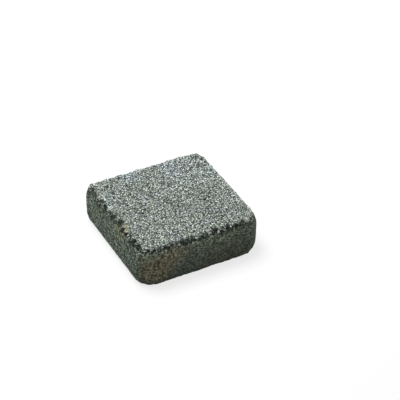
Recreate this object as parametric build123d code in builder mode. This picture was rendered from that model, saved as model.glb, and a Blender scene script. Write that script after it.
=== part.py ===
from build123d import *
from math import cos, radians, sin, sqrt
import os

# Tumbled concrete paving stone: one cast block, square in plan, whose upright corners and arrises
# have been battered in a tumbling drum. +Z is up, the origin is at the middle of the bed face,
# X and Y run along the sides. All sizes are in millimetres.

# Block
stone_length = 160.0
stone_width = 160.0
stone_thickness = 50.0

# Upright corners, each worn by its own amount
front_corner_radius = 23.0
right_corner_radius = 25.0
back_corner_radius = 19.0
left_corner_radius = 12.0

# Both arrises are worn back to a steep bevel, with a crisp crest where it meets the flat face and
# a soft shoulder where it runs out into the upright side
wear_bevel_inset = 5.0
wear_bevel_drop = 12.5
wear_crest_radius = 1.5
bed_bevel_inset = 2.5
bed_bevel_drop = 10.0
bed_crest_radius = 2.5
shoulder_radius = 24.0

# Spalls, the shallow bowls that knocks leave just below the crest of each arris
wear_spall_count = 38
bed_spall_count = 18
spall_width = 15.0
wear_spall_depth = 0.9
bed_spall_depth = 0.25
smallest_spall = 0.6
largest_spall = 1.5
spall_jitter = 0.8
knock_share = 0.15
knock_tilt = 45.0
knock_spread = 16.0

# Pockets where a piece of aggregate has dropped out of the crest of the wearing arris, at these
# distances along the outline, which starts with the left corner and runs down the left-hand side
pocket_places = (82.0, 97.0, 108.0, 133.0, 145.0)
pocket_width = 7.5
pocket_depth = 2.6
pocket_tilt = 60.0

# One heavy knock on the bed arris, half-way round the right corner
heavy_knock_place = 311.5
heavy_knock_width = 46.0
heavy_knock_depth = 2.6

# Multiples of the golden ratio give each spall its own width, depth, place and tilt
golden_stride = (sqrt(5) - 1) / 2
place_stride = 2 * golden_stride
tilt_stride = 3 * golden_stride
depth_stride = 5 * golden_stride


def uneven(number, low, high, stride):
    """A value between low and high that jumps about from one number to the next."""
    return low + (high - low) * (number * stride % 1.0)


def bevel_arris(part, face, inset, drop, crest_radius):
    """Bevel the edges round a flat face, then round the bevel's shoulder and its crest."""
    height = face.center().Z
    shoulder_height = height - drop if height > 0 else drop
    chamfer(face.edges(), length=inset, length2=drop, reference=face)
    fillet(part.edges().filter_by_position(Axis.Z, shoulder_height, shoulder_height), shoulder_radius)
    fillet(part.edges().filter_by_position(Axis.Z, height, height), crest_radius)


def bowl(outline, share, arris, tilt, width, depth):
    """A ball whose cap, of this width and depth, is bitten out of an arris.

    Its poles lie along the arris and its seam faces away, so that neither is in the bite.
    """
    radius = (width**2 / 4 + depth**2) / (2 * depth)
    along = outline.tangent_at(share)
    outward = Vector(along.Y, -along.X, 0)
    corner = outline.position_at(share) + Vector(0, 0, arris["height"])
    struck = corner - outward * arris["inset"] - arris["facing"] * arris["drop"]
    aim = outward * cos(radians(tilt)) + arris["facing"] * sin(radians(tilt))
    with Locations(Plane(struck + aim * (radius - depth), x_dir=aim, z_dir=along)):
        Sphere(radius, mode=Mode.SUBTRACT)


# Plan outline, anticlockwise
half_length, half_width = stone_length / 2, stone_width / 2
with BuildSketch() as plan:
    with BuildLine() as outline_line:
        FilletPolyline(
            (-half_length, -half_width),
            (half_length, -half_width),
            (half_length, half_width),
            (-half_length, half_width),
            radius=[front_corner_radius, right_corner_radius, back_corner_radius, left_corner_radius],
            close=True,
        )
    make_face()

outline = outline_line.wire()

# What a knock strikes: a bevel just below its crest, or the crest itself
upward, downward = Vector(0, 0, 1), Vector(0, 0, -1)
wear_arris = {
    "height": stone_thickness,
    "inset": wear_bevel_inset * (1 - knock_share),
    "drop": wear_bevel_drop * knock_share,
    "facing": upward,
}
bed_arris = {
    "height": 0.0,
    "inset": bed_bevel_inset * (1 - knock_share),
    "drop": bed_bevel_drop * knock_share,
    "facing": downward,
}
wear_crest = {
    "height": stone_thickness,
    "inset": wear_bevel_inset,
    "drop": 0.0,
    "facing": upward,
}

with BuildPart() as paving_stone:
    add(plan)
    extrude(amount=stone_thickness)
    wearing_face = paving_stone.faces().sort_by(Axis.Z)[-1]
    bevel_arris(paving_stone, wearing_face, wear_bevel_inset, wear_bevel_drop, wear_crest_radius)
    bed_face = paving_stone.faces().sort_by(Axis.Z)[0]
    bevel_arris(paving_stone, bed_face, bed_bevel_inset, bed_bevel_drop, bed_crest_radius)

    # Spalls all the way round both arrises
    for arris, count, spall_depth in (
        (wear_arris, wear_spall_count, wear_spall_depth),
        (bed_arris, bed_spall_count, bed_spall_depth),
    ):
        for number in range(count):
            share = (number + uneven(number, 0, spall_jitter, place_stride)) / count
            tilt = knock_tilt + uneven(number, -knock_spread, knock_spread, tilt_stride)
            width = spall_width * uneven(number, smallest_spall, largest_spall, golden_stride)
            depth = spall_depth * uneven(number, smallest_spall, largest_spall, depth_stride)
            bowl(outline, share, arris, tilt, width, depth)

    # The heavy knock
    heavy_knock_share = heavy_knock_place / outline.length
    bowl(outline, heavy_knock_share, bed_arris, knock_tilt, heavy_knock_width, heavy_knock_depth)

    # Pockets along the crest
    for place in pocket_places:
        bowl(outline, place / outline.length, wear_crest, pocket_tilt, pocket_width, pocket_depth)

paving_stone.part.label = "paving_stone"
os.makedirs("parts", exist_ok=True)
export_step(paving_stone.part, "parts/paving_stone.step")
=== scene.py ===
import bpy
import numpy as np
from math import radians
from mathutils import Matrix, Vector
from mathutils.kdtree import KDTree


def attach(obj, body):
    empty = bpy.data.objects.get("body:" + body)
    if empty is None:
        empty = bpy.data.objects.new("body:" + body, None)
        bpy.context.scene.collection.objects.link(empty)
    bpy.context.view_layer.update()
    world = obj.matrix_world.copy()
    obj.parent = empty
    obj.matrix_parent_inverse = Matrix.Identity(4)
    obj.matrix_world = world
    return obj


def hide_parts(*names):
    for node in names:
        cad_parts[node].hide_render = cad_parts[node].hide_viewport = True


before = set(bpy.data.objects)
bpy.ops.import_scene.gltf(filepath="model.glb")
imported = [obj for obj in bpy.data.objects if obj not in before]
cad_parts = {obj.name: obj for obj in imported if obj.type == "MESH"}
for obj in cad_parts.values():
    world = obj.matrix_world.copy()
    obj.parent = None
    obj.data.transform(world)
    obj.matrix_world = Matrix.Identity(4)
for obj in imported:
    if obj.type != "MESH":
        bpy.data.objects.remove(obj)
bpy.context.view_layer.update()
millimetre = 0.001  # in metres, Blender's own unit
metre = 1000.0  # in millimetres, for patterns whose size is given in them
white = (1, 1, 1, 1)


# Small helpers

def report(stage):
    print("paving stone:", stage)


def deselectAll():
    if bpy.context.mode != "OBJECT":
        bpy.ops.object.mode_set(mode="OBJECT")
    bpy.ops.object.select_all(action="DESELECT")


def makeActive(piece):
    deselectAll()
    piece.select_set(True)
    bpy.context.view_layer.objects.active = piece


def smoothStep(low, high, values):
    share = np.clip((values - low) / (high - low), 0.0, 1.0)
    return share * share * (3.0 - 2.0 * share)


def pointsOf(piece):
    places = np.empty(len(piece.data.vertices) * 3)
    piece.data.vertices.foreach_get("co", places)
    return places.reshape(-1, 3)


def normalsOf(piece):
    normals = np.empty(len(piece.data.vertices) * 3)
    piece.data.vertex_normals.foreach_get("vector", normals)
    return normals.reshape(-1, 3)


def paintGroup(piece, name, weights):
    # weights are rounded to a few levels, so that each level is one call
    group = piece.vertex_groups.new(name=name)
    levels = 25
    rounded = np.rint(weights * levels).astype(int)
    for level in range(1, levels + 1):
        members = np.flatnonzero(rounded == level)
        if len(members):
            group.add(members.tolist(), level / levels, "REPLACE")


def paintMask(piece, name, values):
    mask = piece.data.attributes.new(name, "FLOAT", "POINT")
    mask.data.foreach_set("value", values.astype(np.float32))


def applyModifier(piece, modifier):
    makeActive(piece)
    bpy.ops.object.modifier_apply(modifier=modifier.name)


# Camera, where the photograph was taken from

camera = {
    "azimuth": -28.44,
    "elevation": 37.29,
    "roll": 0.64,
    "distance": 1.779,
    "lens": 129.8,
    "aim": Vector((0.0601, 0.0420, 0.0)),
}


def placeCamera(use):
    turn = (
        Matrix.Rotation(radians(use["azimuth"]), 3, "Z")
        @ Matrix.Rotation(radians(90 - use["elevation"]), 3, "X")
        @ Matrix.Rotation(radians(use["roll"]), 3, "Z")
    )
    back = turn @ Vector((0, 0, 1))
    bpy.ops.object.camera_add(location=use["aim"] + back * use["distance"], rotation=turn.to_euler())
    shot = bpy.context.active_object
    shot.data.lens = use["lens"]
    bpy.context.scene.camera = shot


placeCamera(camera)
report("camera placed")


# Stone: a copy of the cast block, remeshed finely and weathered by dents that only go inward

# a tilt is the upward part of a normal, and a distance past the crest of the wearing arris is in
# millimetres, positive on the wearing face
weatheringAndShading = {
    "mergeDistance": 0.01 * millimetre,
    "voxel": 1.4 * millimetre,
    "fineAbove": 0.037,  # height from which the mesh is twice as fine
    "crestAbove": 0.0478,
    "crestTilts": (0.45, 0.95),
    "faceAbove": 0.045,
    "faceTilt": 0.8,
    "faceFade": (-1.5, 1.0),  # past the crest
    "bandMiddle": -0.5,  # of the broken crest, past the crest
    "bandFade": (1.0, 4.0),  # millimetres to either side of its middle
    "farEdges": (0.05, 0.07),
    "farSmoothing": 0.5,
    "farHighlightBelow": 3.0,  # millimetres
    "clearance": 0.02 * millimetre,
    # angles and blur of the painted shade in hollows and the painted highlight on bumps
    "hollowAngle": 60,
    "bumpAngle": 120,
    "hollowBlur": 0.3,
}

# each dent: kind of texture, size of its features and depth in millimetres, where it acts, and the
# texture's values at the deepest point and at the untouched face
dents = {
    "swell": ("CLOUDS", 12.0, 0.4, "everywhere", 0.2, 0.9),
    "grain": ("CLOUDS", 1.8, 0.9, "wearing face", 0.2, 0.55),
    "pits": ("VORONOI", 6.5, 1.0, "wearing face", 0.1, 0.35),
    "broken crest": ("CLOUDS", 3.0, 1.1, "crest", 0.35, 0.55),
    "crest holes": ("VORONOI", 6.0, 1.8, "crest", 0.08, 0.28),
    "skin": ("CLOUDS", 3.0, 0.55, "skin", 0.2, 0.65),
}


def copyBlock(use):
    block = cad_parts["paving_stone"]
    makeActive(block)
    bpy.ops.object.duplicate()
    stone = bpy.context.active_object
    stone.parent = None
    for key in list(stone.keys()):
        del stone[key]
    stone.name = stone.data.name = "weathered_stone"
    bpy.ops.object.mode_set(mode="EDIT")
    bpy.ops.mesh.select_all(action="SELECT")
    bpy.ops.mesh.remove_doubles(threshold=use["mergeDistance"])
    bpy.ops.object.mode_set(mode="OBJECT")
    stone.data.materials.clear()
    return stone


def remesh(stone, use):
    modifier = stone.modifiers.new("even mesh", "REMESH")
    modifier.mode = "VOXEL"
    modifier.voxel_size = use["voxel"]
    applyModifier(stone, modifier)
    makeActive(stone)
    stone.data.vertices.foreach_set("select", pointsOf(stone)[:, 2] > use["fineAbove"])
    bpy.ops.object.mode_set(mode="EDIT")
    bpy.ops.mesh.select_mode(type="VERT")
    bpy.ops.mesh.subdivide(number_cuts=1)
    bpy.ops.object.mode_set(mode="OBJECT")


def crestDistance(places, normals, use):
    # the crest is a ring of points that lie high up and tilt outward
    height, tilt = places[:, 2], normals[:, 2]
    steepest, flattest = use["crestTilts"]
    onCrest = (height > use["crestAbove"]) & (tilt > steepest) & (tilt < flattest)
    ring = np.flatnonzero(onCrest)
    tree = KDTree(len(ring))
    for index in ring:
        tree.insert(places[index], index)
    tree.balance()
    away = np.array([tree.find(place)[2] for place in places]) / millimetre
    onFace = (height > use["faceAbove"]) & (tilt > use["faceTilt"])
    return np.where(onFace, away, -away)


def dent(stone, name, kind, size, depth, group, deepest, untouched):
    texture = bpy.data.textures.new(name, kind)
    texture.noise_scale = size * millimetre
    texture.use_color_ramp = True
    texture.color_ramp.elements[0].position = deepest
    texture.color_ramp.elements[0].color = (0, 0, 0, 1)
    texture.color_ramp.elements[1].position = untouched
    modifier = stone.modifiers.new(name, "DISPLACE")
    modifier.texture = texture
    modifier.texture_coords = "LOCAL"
    modifier.strength = depth * millimetre
    modifier.mid_level = 1.0
    modifier.vertex_group = group
    applyModifier(stone, modifier)


def weatherAndHighlight(stone, use):
    places = pointsOf(stone)
    pastCrest = crestDistance(places, normalsOf(stone), use)
    onFace = smoothStep(*use["faceFade"], pastCrest)
    nearCrest = 1 - smoothStep(*use["bandFade"], abs(pastCrest - use["bandMiddle"]))
    # the two far edges are worn smoother, and carry a painted highlight to a little below their crests
    farEdges = smoothStep(*use["farEdges"], places[:, :2].max(axis=1))
    nearCrest *= 1 - use["farSmoothing"] * farEdges
    paintGroup(stone, "everywhere", np.ones(len(places)))
    paintGroup(stone, "wearing face", onFace)
    paintGroup(stone, "crest", nearCrest)
    paintGroup(stone, "skin", 1 - onFace)
    # on the far edges the wearing face's lighter colour reaches a little lower, as a painted highlight
    paintMask(stone, "past crest", pastCrest + use["farHighlightBelow"] * farEdges)
    for name, values in dents.items():
        dent(stone, name, *values)
    # a hair smaller all round, so that nothing leaves the cast block
    shrink = stone.modifiers.new("shrink", "DISPLACE")
    shrink.mid_level = 0.0
    shrink.strength = -use["clearance"]
    applyModifier(stone, shrink)


def paintHollowShading(stone, use):
    # dark in hollows as painted shade, half grey on flat ground, light on bumps as a painted highlight
    cavity = stone.data.color_attributes.new("cavity", "FLOAT_COLOR", "CORNER")
    cavity.data.foreach_set("color", np.ones(len(stone.data.loops) * 4, np.float32))
    stone.data.color_attributes.active_color = cavity
    makeActive(stone)
    bpy.ops.paint.vertex_color_dirt(
        blur_strength=use["hollowBlur"],
        blur_iterations=1,
        dirt_angle=radians(use["hollowAngle"]),
        clean_angle=radians(use["bumpAngle"]),
        normalize=False,
    )


stone = copyBlock(weatheringAndShading)
remesh(stone, weatheringAndShading)
weatherAndHighlight(stone, weatheringAndShading)
paintHollowShading(stone, weatheringAndShading)
makeActive(stone)
bpy.ops.object.shade_smooth()
triangles = sum(len(face.vertices) - 2 for face in stone.data.polygons)
report(f"stone has {triangles} triangles")


# Node helpers

def newMaterial(name):
    material = bpy.data.materials.new(name)
    material.use_nodes = True
    return material, material.node_tree, material.node_tree.nodes["Principled BSDF"]


def newGroup(name, inputs, outputs):
    tree = bpy.data.node_groups.new(name, "ShaderNodeTree")
    for label, kind, value in inputs:
        socket = tree.interface.new_socket(label, in_out="INPUT", socket_type="NodeSocket" + kind)
        if value is not None:
            socket.default_value = value
    for label, kind in outputs:
        tree.interface.new_socket(label, in_out="OUTPUT", socket_type="NodeSocket" + kind)
    return tree, tree.nodes.new("NodeGroupInput").outputs, tree.nodes.new("NodeGroupOutput").inputs


def addNode(tree, kind, **settings):
    node = tree.nodes.new("ShaderNode" + kind)
    for setting, value in settings.items():
        setattr(node, setting, value)
    return node


def feed(tree, socket, value):
    # a value is a number, a colour, or the output of another node
    if isinstance(value, bpy.types.NodeSocket):
        tree.links.new(value, socket)
    else:
        socket.default_value = value


def doMath(tree, operation, first, second=0.0, third=0.0):
    node = addNode(tree, "Math", operation=operation)
    for socket, value in zip(node.inputs, (first, second, third)):
        feed(tree, socket, value)
    return node.outputs["Value"]


def multiply(tree, first, second):
    return doMath(tree, "MULTIPLY", first, second)


def swing(tree, value, spread):
    # a value from 0 to 1 becomes one that spreads round zero
    return doMath(tree, "MULTIPLY_ADD", value, spread, -spread / 2)


def blend(tree, factor, first, second, way="MIX"):
    # a Mix node's colours are its inputs 6 and 7 and its output 2
    node = addNode(tree, "Mix", data_type="RGBA", blend_type=way)
    feed(tree, node.inputs["Factor"], factor)
    feed(tree, node.inputs[6], first)
    feed(tree, node.inputs[7], second)
    return node.outputs[2]


def toned(tree, colour, tone):
    return blend(tree, 1.0, colour, tone, "MULTIPLY")


def blendNumbers(tree, factor, first, second):
    node = addNode(tree, "Mix", data_type="FLOAT")
    feed(tree, node.inputs["Factor"], factor)
    feed(tree, node.inputs["A"], first)
    feed(tree, node.inputs["B"], second)
    return node.outputs["Result"]


def ramp(tree, value, low, high, toLow=0.0, toHigh=1.0):
    node = addNode(tree, "MapRange", interpolation_type="SMOOTHSTEP")
    levels = {"Value": value, "From Min": low, "From Max": high, "To Min": toLow, "To Max": toHigh}
    for name, number in levels.items():
        feed(tree, node.inputs[name], number)
    return node.outputs["Result"]


def noise(tree, places, size, detail=2.0, roughness=0.6):
    # size is in millimetres
    node = addNode(tree, "TexNoise")
    feed(tree, node.inputs["Vector"], places)
    feed(tree, node.inputs["Scale"], doMath(tree, "DIVIDE", metre, size))
    feed(tree, node.inputs["Detail"], detail)
    feed(tree, node.inputs["Roughness"], roughness)
    return node.outputs["Fac"]


def spots(tree, places, spacing, outer, inner):
    # round spots, each spacing millimetres or so from the next
    node = addNode(tree, "TexVoronoi")
    feed(tree, node.inputs["Vector"], places)
    feed(tree, node.inputs["Scale"], metre / spacing)
    return ramp(tree, node.outputs["Distance"], outer, inner)


def readAttribute(tree, name):
    return addNode(tree, "Attribute", attribute_name=name).outputs["Fac"]


def placeGroup(tree, group, values):
    node = tree.nodes.new("ShaderNodeGroup")
    node.node_tree = group
    for name, value in values.items():
        feed(tree, node.inputs[name], value)
    return node.outputs


# Node groups

# a tone is what a colour is multiplied by, and a spread of tones is in powers of e
toneMix = {
    "groundSpread": 4.0,
    "grainSpread": 1.2,
    "patchSpread": 4.0,
    "hollowSkew": -0.3,
    "grainDome": -0.5,
}


def speckleGroup():
    # grains of sand, each with its own tone, over finer noise
    tree, given, result = newGroup(
        "speckle",
        [("Vector", "Vector", None), ("Grain Size", "Float", 2.5), ("Contrast", "Float", 1.0)],
        [("Tone", "Float"), ("Height", "Float")],
    )
    ground = noise(tree, given["Vector"], given["Grain Size"], detail=1.0, roughness=0.5)
    grains = addNode(tree, "TexVoronoi")
    feed(tree, grains.inputs["Vector"], given["Vector"])
    feed(tree, grains.inputs["Scale"], doMath(tree, "DIVIDE", metre, given["Grain Size"]))
    own = addNode(tree, "SeparateColor")
    feed(tree, own.inputs["Color"], grains.outputs["Color"])
    groundTone = swing(tree, ground, toneMix["groundSpread"])
    grainTone = swing(tree, own.outputs["Red"], toneMix["grainSpread"])
    # hollows between grains go darker than the grains go light
    both = doMath(tree, "ADD", groundTone, grainTone)
    skewed = doMath(tree, "MULTIPLY_ADD", multiply(tree, both, both), toneMix["hollowSkew"], both)
    feed(tree, result["Tone"], doMath(tree, "EXPONENT", multiply(tree, skewed, given["Contrast"])))
    domed = doMath(tree, "MULTIPLY_ADD", grains.outputs["Distance"], toneMix["grainDome"], ground)
    feed(tree, result["Height"], domed)
    return tree


def mottleGroup():
    # soft patches, lighter and darker
    tree, given, result = newGroup(
        "mottle",
        [("Vector", "Vector", None), ("Patch Size", "Float", 20.0), ("Contrast", "Float", 1.0)],
        [("Tone", "Float"), ("Share", "Float")],
    )
    share = noise(tree, given["Vector"], given["Patch Size"], detail=3.0, roughness=0.6)
    power = multiply(tree, swing(tree, share, toneMix["patchSpread"]), given["Contrast"])
    feed(tree, result["Tone"], doMath(tree, "EXPONENT", power))
    feed(tree, result["Share"], share)
    return tree


def blotGroup():
    # a patch round a centre, sharp or soft at its edge; its size is its width in millimetres
    tree, given, result = newGroup(
        "blot",
        [
            ("Vector", "Vector", None),
            ("Centre", "Vector", None),
            ("Size", "Float", 5.0),
            ("Softness", "Float", 0.3),
            ("Waver", "Float", 0.0),
        ],
        [("Mask", "Float")],
    )
    away = addNode(tree, "VectorMath", operation="DISTANCE")
    feed(tree, away.inputs[0], given["Vector"])
    feed(tree, away.inputs[1], given["Centre"])
    reach = doMath(tree, "DIVIDE", multiply(tree, away.outputs["Value"], 2 * metre), given["Size"])
    reach = doMath(tree, "ADD", reach, given["Waver"])
    inner = doMath(tree, "SUBTRACT", 1.0, given["Softness"])
    outer = doMath(tree, "ADD", 1.0, given["Softness"])
    feed(tree, result["Mask"], ramp(tree, reach, outer, inner))
    return tree


speckle = speckleGroup()
mottle = mottleGroup()
blot = blotGroup()


# Concrete

wearingFace = {
    "colour": (0.144, 0.1635, 0.1475, 1),
    "grainSize": 1.5,
    "grainContrast": 2.35,
    "patchSize": 30.0,
    "patchContrast": 0.12,
    "tintSize": 12.0,
    "warmTint": (1.005, 1.008, 0.96, 1),
    "coldTint": (0.99, 0.986, 1.04, 1),
}

sideSkin = {
    "colour": (0.150, 0.174, 0.131, 1),
    "grainSize": 2.0,
    "grainContrast": 1.1,
    "patchSize": 10.0,
    "patchContrast": 0.3,
    "tintSize": 18.0,
    "warmTint": (1.05, 1.0, 0.94, 1),
    "coldTint": (0.95, 1.0, 1.03, 1),
}

# what differs on the left-hand side
leftSkin = {
    "grainContrast": 1.75,
    "patchContrast": 0.9,
}

# shares of noise between which the warm tint becomes the cold one
tintFade = (0.35, 0.65)

# the sides' tones, each with the places in metres between which it fades; foot and left bevel are
# painted shade, the right bevel a painted highlight
sideTones = {
    "leftFade": (-0.074, -0.079),
    "leftTint": (1.0, 1.07, 1.11, 1),
    "foot": 0.5,
    "footHeights": (0.0, 0.045),
    "leftFoot": 0.75,
    "leftFootHeights": (0.006, 0.028),
    "bevel": 1.2,
    "leftBevel": 0.55,
    "bevelHeights": (0.032, 0.042),
}

# a painted highlight along the two far rims of the wearing face
farRimHighlight = {
    "tone": 1.35,
    "reach": (0.069, 0.073),
    "heights": (0.045, 0.048),
}

# sizes, spacings and distances from the crest are in millimetres
crestLook = {
    "raggedSize": 3.5,
    "raggedReach": 11.0,
    "raggedEdge": (-0.6, 0.2),
    # colour, size and spread of the painted shade under the crest
    "underCrestShade": (0.25, 0.29, 0.28, 1),
    "underCrestSize": 4.5,
    "underCrestAmount": 0.40,
    "underCrestSoftness": 0.03,
    "underCrestFading": 0.035,
    "bandBelow": 1.3,
    "bandFade": (3.2, 2.0),
    # the cavities are dark spots of painted shade
    "cavitySpacing": 5.0,
    "cavityEdge": (0.5, 0.36),
    "cavityShade": (0.13, 0.17, 0.16, 1),
    "fleckSpacing": 6.0,
    "fleckEdge": (0.42, 0.3),
    "fleckColour": (0.30, 0.33, 0.29, 1),
    "fleckStrength": 0.8,
}

surface = {
    "roughness": 0.9,
    "specular": 0.3,
    "bumpStrength": 0.3,
    "bumpHeight": 0.5 * millimetre,
    # tones of the painted shade in hollows and the painted highlight on bumps
    "hollows": (0.25, 0.6),
    "hollowTones": (0.3, 1.15),
}

# the edge of every mark wavers: the waves' size in millimetres, their reach as a share of the mark
markWaves = {
    "size": 5.0,
    "reach": 1.6,
}

# Patches and marks at their own places: centre in millimetres, size, softness, colour, strength
patchesAndPaintedLight = {
    # painted light: the top made lighter towards the back corner, with a bluer tint
    "painted light at back corner": ((48.0, 45.0, 50.0), 80, 0.6, (0.178, 0.203, 0.193, 1), 0.6),
    "blue back patch": ((28.0, 56.0, 50.0), 26, 0.6, (0.18, 0.205, 0.215, 1), 0.6),
    "blue left patch": ((-25.0, 66.0, 50.0), 22, 0.6, (0.18, 0.215, 0.225, 1), 0.6),
    "blue crest patch": ((-64.0, 34.0, 50.0), 18, 0.6, (0.18, 0.215, 0.215, 1), 0.5),
}

stainsAndShade = {
    "ochre stain": ((-78.0, -18.0, 42.0), 26, 0.6, (0.18, 0.18, 0.11, 1), 0.5),
    "light left bevel": ((-79.0, 7.0, 42.0), 26, 0.5, (0.13, 0.16, 0.128, 1), 0.6),
    "light upper bevel": ((-79.0, 57.0, 42.0), 16, 0.5, (0.13, 0.16, 0.128, 1), 0.4),
    "upper brown stain": ((-38.0, -79.5, 34.0), 25, 0.6, (0.235, 0.215, 0.14, 1), 0.7),
    "lower brown stain": ((-60.0, -80.0, 24.0), 34, 0.6, (0.235, 0.21, 0.13, 1), 0.7),
    "teal foot": ((-22.0, -80.0, 10.0), 36, 0.6, (0.11, 0.14, 0.115, 1), 0.5),
    "teal right corner": ((72.0, -75.0, 32.0), 26, 0.6, (0.10, 0.135, 0.12, 1), 0.4),
    "worn left corner": ((-74.5, 62.0, 47.5), 13, 0.6, (0.085, 0.09, 0.065, 1), 0.4),
    # painted shade at the right corner
    "right corner shade": ((52.0, -75.0, 48.0), 12, 0.6, (0.04, 0.045, 0.033, 1), 0.7),
    "right corner ochre": ((68.0, -74.0, 41.0), 8, 0.5, (0.26, 0.24, 0.13, 1), 0.4),
}

grains = {
    "light left corner": ((-67.0, 69.5, 50.0), 6, 0.4, (0.40, 0.43, 0.40, 1), 0.7),
    "crest fleck": ((-65.0, 60.5, 49.5), 5, 0.3, (0.38, 0.40, 0.36, 1), 0.8),
    "left crest fleck": ((-71.0, 46.0, 49.3), 4.5, 0.3, (0.38, 0.40, 0.35, 1), 0.8),
    "low left crest fleck": ((-74.8, 47.5, 48.0), 5, 0.4, (0.24, 0.26, 0.23, 1), 0.7),
    "broad crest fleck": ((-71.0, 21.0, 50.0), 5.5, 0.3, (0.42, 0.44, 0.42, 1), 0.8),
    "ochre pebble": ((-71.0, -20.5, 50.0), 6, 0.2, (0.25, 0.23, 0.14, 1), 0.9),
    "pale pebble": ((-73.3, -27.5, 49.0), 5, 0.2, (0.31, 0.30, 0.21, 1), 0.9),
    "front fleck": ((-71.5, -68.5, 48.3), 4, 0.3, (0.45, 0.43, 0.37, 1), 0.9),
    "light block": ((11.0, -72.0, 50.0), 7, 0.2, (0.36, 0.39, 0.37, 1), 0.9),
    "light right corner": ((61.0, -72.5, 50.0), 8, 0.5, (0.36, 0.38, 0.33, 1), 0.7),
    "pale corner fleck": ((65.5, -75.0, 47.5), 5.5, 0.4, (0.34, 0.34, 0.25, 1), 0.6),
    "streaked right corner": ((71.5, -66.0, 48.0), 9, 0.5, (0.26, 0.28, 0.22, 1), 0.6),
    "grey pebble": ((-9.0, -78.5, 44.5), 4.5, 0.3, (0.27, 0.28, 0.24, 1), 0.8),
    "lower grey pebble": ((-5.5, -80.0, 32.5), 6, 0.3, (0.23, 0.24, 0.20, 1), 0.8),
}

# holes, pockets and pits painted near-black: painted shade of deep hollows, together with the dirt in
# them
holeShadeColour = (0.010, 0.014, 0.011, 1)
shadedHoles = {
    "corner hole": ((-74.3, 62.5, 48.5), 6, 0.3, holeShadeColour, 0.9),
    "second corner hole": ((-75.2, 56.5, 48.3), 5, 0.3, holeShadeColour, 0.5),
    "upper crest hole": ((-75.5, 37.0, 48.6), 5.5, 0.3, holeShadeColour, 0.5),
    "middle crest hole": ((-75.2, 22.5, 48.7), 5.5, 0.3, holeShadeColour, 0.8),
    "left speck": ((-57.0, 58.0, 50.0), 4, 0.3, holeShadeColour, 0.9),
    "first pocket": ((-75.0, 5.0, 47.5), 9, 0.4, holeShadeColour, 0.9),
    "low left hole": ((-79.7, -14.0, 44.0), 6, 0.4, holeShadeColour, 0.7),
    "low middle hole": ((-77.2, -30.5, 46.0), 5, 0.4, holeShadeColour, 0.7),
    "wide pocket": ((-72.0, -10.5, 49.0), 8, 0.3, holeShadeColour, 0.95),
    "third pocket": ((-75.5, -21.5, 47.3), 7, 0.3, holeShadeColour, 0.95),
    "fourth pocket": ((-73.9, -46.8, 48.0), 7.5, 0.3, holeShadeColour, 0.95),
    "fifth pocket": ((-73.6, -58.0, 48.0), 7.5, 0.3, holeShadeColour, 0.9),
    "dark recess": ((18.0, -71.5, 50.0), 8, 0.3, holeShadeColour, 0.9),
    "front hole": ((-24.0, -72.5, 50.0), 6, 0.3, holeShadeColour, 0.8),
    "small front hole": ((-12.0, -73.5, 49.0), 5, 0.3, holeShadeColour, 0.8),
    "first brown hole": ((-45.0, -73.0, 49.7), 5, 0.4, holeShadeColour, 0.7),
    "second brown hole": ((-38.5, -72.7, 49.8), 6, 0.4, holeShadeColour, 0.8),
    "third brown hole": ((-32.5, -74.2, 49.3), 6, 0.4, holeShadeColour, 0.7),
    "right hole": ((34.0, -72.0, 50.0), 6, 0.3, holeShadeColour, 0.9),
    "first back pit": ((69.8, 57.0, 50.0), 4, 0.3, holeShadeColour, 0.9),
    "second back pit": ((47.5, 44.0, 50.0), 4, 0.3, holeShadeColour, 0.8),
    "third back pit": ((68.5, 31.5, 50.0), 3.5, 0.3, holeShadeColour, 0.9),
    "fourth back pit": ((67.5, 22.5, 50.0), 3.5, 0.3, holeShadeColour, 0.9),
    "spot in the brown": ((-58.5, -80.0, 34.0), 5, 0.4, holeShadeColour, 0.7),
}


def concreteFinish(tree, places, use):
    grainValues = {"Vector": places, "Grain Size": use["grainSize"], "Contrast": use["grainContrast"]}
    patchValues = {"Vector": places, "Patch Size": use["patchSize"], "Contrast": use["patchContrast"]}
    grain = placeGroup(tree, speckle, grainValues)
    patch = placeGroup(tree, mottle, patchValues)
    tints = placeGroup(tree, mottle, {"Vector": places, "Patch Size": use["tintSize"]})
    tint = blend(tree, ramp(tree, tints["Share"], *tintFade), use["warmTint"], use["coldTint"])
    colour = toned(tree, use["colour"], tint)
    for tone in (grain["Tone"], patch["Tone"]):
        colour = toned(tree, colour, tone)
    return colour, grain["Tone"], grain["Height"]


def addMarks(tree, places, colour, marks, grainTone):
    waves = noise(tree, places, markWaves["size"], detail=3.0, roughness=0.7)
    waver = swing(tree, waves, markWaves["reach"])
    for centre, size, softness, markColour, strength in marks.values():
        values = {
            "Vector": places,
            "Centre": Vector(centre) * millimetre,
            "Size": size,
            "Softness": softness,
            "Waver": waver,
        }
        mask = placeGroup(tree, blot, values)["Mask"]
        grainy = toned(tree, markColour, grainTone)
        colour = blend(tree, multiply(tree, mask, strength), colour, grainy)
    return colour


def wearingColour(tree, places, axes):
    colour, tone, height = concreteFinish(tree, places, wearingFace)
    colour = addMarks(tree, places, colour, patchesAndPaintedLight, tone)
    # a painted highlight along the two far rims
    farthest = doMath(tree, "MAXIMUM", axes["X"], axes["Y"])
    crestHigh = ramp(tree, axes["Z"], *farRimHighlight["heights"])
    rim = multiply(tree, ramp(tree, farthest, *farRimHighlight["reach"]), crestHigh)
    rimHighlight = ramp(tree, rim, 0.0, 1.0, toLow=1.0, toHigh=farRimHighlight["tone"])
    return toned(tree, colour, rimHighlight), height


def paintedCrestShade(tree, places, pastCrest):
    # painted shade in teeth that hang from the crest
    shadeNoise = noise(tree, places, crestLook["underCrestSize"], roughness=0.7)
    shadeLevel = doMath(tree, "MULTIPLY_ADD", pastCrest, crestLook["underCrestFading"], shadeNoise)
    edge, softness = crestLook["underCrestAmount"], crestLook["underCrestSoftness"]
    return blend(tree, ramp(tree, shadeLevel, edge - softness, edge + softness), white, crestLook["underCrestShade"])


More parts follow.
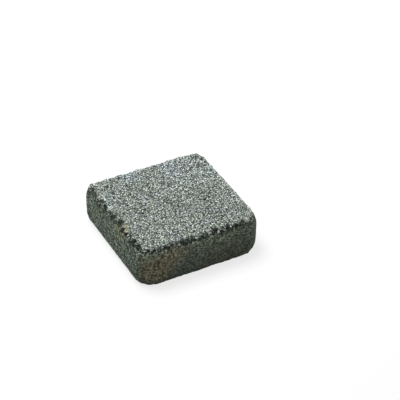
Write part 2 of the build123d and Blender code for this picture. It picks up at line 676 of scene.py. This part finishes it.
def sideColour(tree, places, axes, pastCrest):
    onLeft = ramp(tree, axes["X"], *sideTones["leftFade"])
    skin = dict(sideSkin)
    for name, value in leftSkin.items():
        skin[name] = blendNumbers(tree, onLeft, sideSkin[name], value)
    colour, tone, height = concreteFinish(tree, places, skin)
    colour = blend(tree, onLeft, colour, toned(tree, colour, sideTones["leftTint"]))
    # painted shade under the crest, painted shade darker towards the foot, and on the bevel a painted
    # highlight on the right and painted shade on the left
    foot = ramp(tree, axes["Z"], *sideTones["footHeights"], toLow=sideTones["foot"])
    leftFoot = ramp(tree, axes["Z"], *sideTones["leftFootHeights"], toLow=sideTones["leftFoot"])
    bevelTone = blendNumbers(tree, onLeft, sideTones["bevel"], sideTones["leftBevel"])
    shades = (
        paintedCrestShade(tree, places, pastCrest),
        blendNumbers(tree, onLeft, foot, leftFoot),
        ramp(tree, axes["Z"], *sideTones["bevelHeights"], toLow=1.0, toHigh=bevelTone),
    )
    for shade in shades:
        colour = toned(tree, colour, shade)
    return colour, tone, height


def openCrest(tree, places, colour, pastCrest, grainTone):
    # along the crest lie light grains, and dark spots of painted shade for open cavities
    fromBand = doMath(tree, "ABSOLUTE", doMath(tree, "ADD", pastCrest, crestLook["bandBelow"]))
    band = ramp(tree, fromBand, *crestLook["bandFade"])
    flecks = spots(tree, places, crestLook["fleckSpacing"], *crestLook["fleckEdge"])
    flecks = multiply(tree, multiply(tree, flecks, band), crestLook["fleckStrength"])
    colour = blend(tree, flecks, colour, toned(tree, crestLook["fleckColour"], grainTone))
    cavities = spots(tree, places, crestLook["cavitySpacing"], *crestLook["cavityEdge"])
    cavityTone = blend(tree, multiply(tree, cavities, band), white, crestLook["cavityShade"])
    return toned(tree, colour, cavityTone)


def concreteMaterial():
    material, tree, shader = newMaterial("tumbled concrete")
    places = addNode(tree, "TexCoord").outputs["Object"]
    axes = addNode(tree, "SeparateXYZ")
    feed(tree, axes.inputs["Vector"], places)
    pastCrest = readAttribute(tree, "past crest")
    top, topHeight = wearingColour(tree, places, axes.outputs)
    side, sideTone, sideHeight = sideColour(tree, places, axes.outputs, pastCrest)

    # the skin ends at the crest in a ragged line
    waver = doMath(tree, "SUBTRACT", noise(tree, places, crestLook["raggedSize"], roughness=0.7), 0.5)
    ragged = doMath(tree, "MULTIPLY_ADD", waver, crestLook["raggedReach"], pastCrest)
    wearing = ramp(tree, ragged, *crestLook["raggedEdge"])
    colour = blend(tree, wearing, side, top)
    colour = openCrest(tree, places, colour, pastCrest, sideTone)
    # stains with a patch of painted shade, grains, and holes darkened with painted shade
    for marks in (stainsAndShade, grains, shadedHoles):
        colour = addMarks(tree, places, colour, marks, sideTone)

    # hollows are darker with painted shade and bumps lighter with a painted highlight
    cavityTone = ramp(tree, readAttribute(tree, "cavity"), *surface["hollows"], *surface["hollowTones"])
    feed(tree, shader.inputs["Base Color"], toned(tree, colour, cavityTone))
    feed(tree, shader.inputs["Roughness"], surface["roughness"])
    feed(tree, shader.inputs["Specular IOR Level"], surface["specular"])
    bump = addNode(tree, "Bump")
    feed(tree, bump.inputs["Height"], blendNumbers(tree, wearing, sideHeight, topHeight))
    feed(tree, bump.inputs["Distance"], surface["bumpHeight"])
    feed(tree, bump.inputs["Strength"], surface["bumpStrength"])
    feed(tree, shader.inputs["Normal"], bump.outputs["Normal"])
    return material


stone.data.materials.append(concreteMaterial())
report("concrete mixed")

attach(stone, "root")
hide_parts("paving_stone")


# Studio: a pale floor, a broad lamp overhead and a soft surround

studio = {
    "floorSize": 6.0,
    "floorColour": (0.3, 0.3, 0.3, 1),
    "floorRoughness": 0.9,
    "floorGlow": 0.75,
    "surround": 0.3,
    "lampPlace": (-0.18, 0.5, 1.5),
    "lampAim": (0, 0, 0.03),
    "lampSize": 1.0,
    "lampPower": 25,
}


def seenDirectly(tree):
    # 1 for what the camera sees, also by way of gloss or glass
    path = addNode(tree, "LightPath").outputs
    seen = doMath(tree, "MAXIMUM", path["Is Camera Ray"], path["Is Glossy Ray"])
    return doMath(tree, "MAXIMUM", seen, path["Is Transmission Ray"])


def floorMaterial(use):
    # the camera sees a white floor that glows a little, so that its shadow stays pale
    material, tree, shader = newMaterial("pale floor")
    seen = seenDirectly(tree)
    feed(tree, shader.inputs["Base Color"], blend(tree, seen, use["floorColour"], white))
    feed(tree, shader.inputs["Roughness"], use["floorRoughness"])
    feed(tree, shader.inputs["Specular IOR Level"], 0.0)
    glow = addNode(tree, "Emission")
    mix = addNode(tree, "MixShader")
    feed(tree, mix.inputs["Fac"], multiply(tree, seen, use["floorGlow"]))
    feed(tree, mix.inputs[1], shader.outputs["BSDF"])
    feed(tree, mix.inputs[2], glow.outputs["Emission"])
    feed(tree, tree.nodes["Material Output"].inputs["Surface"], mix.outputs["Shader"])
    return material


def layFloor(use):
    bpy.ops.mesh.primitive_plane_add(size=use["floorSize"])
    floor = bpy.context.active_object
    floor.name = "floor"
    floor.data.materials.append(floorMaterial(use))


def lightSurround(use):
    # white to the camera, dimmer as a light
    world = bpy.data.worlds.new("surround")
    bpy.context.scene.world = world
    world.use_nodes = True
    tree = world.node_tree
    dim = use["surround"]
    strength = doMath(tree, "MULTIPLY_ADD", seenDirectly(tree), 1 - dim, dim)
    background = tree.nodes["Background"].inputs
    feed(tree, background["Color"], white)
    feed(tree, background["Strength"], strength)


def hangLamp(use):
    place, aim = Vector(use["lampPlace"]), Vector(use["lampAim"])
    turn = (place - aim).to_track_quat("Z", "Y").to_euler()
    bpy.ops.object.light_add(type="AREA", location=place, rotation=turn)
    lamp = bpy.context.active_object
    lamp.name = "overhead lamp"
    lamp.data.shape = "DISK"
    lamp.data.size = use["lampSize"]
    lamp.data.energy = use["lampPower"]


layFloor(studio)
lightSurround(studio)
hangLamp(studio)
bpy.context.scene.view_settings.view_transform = "Standard"
report("studio lit")
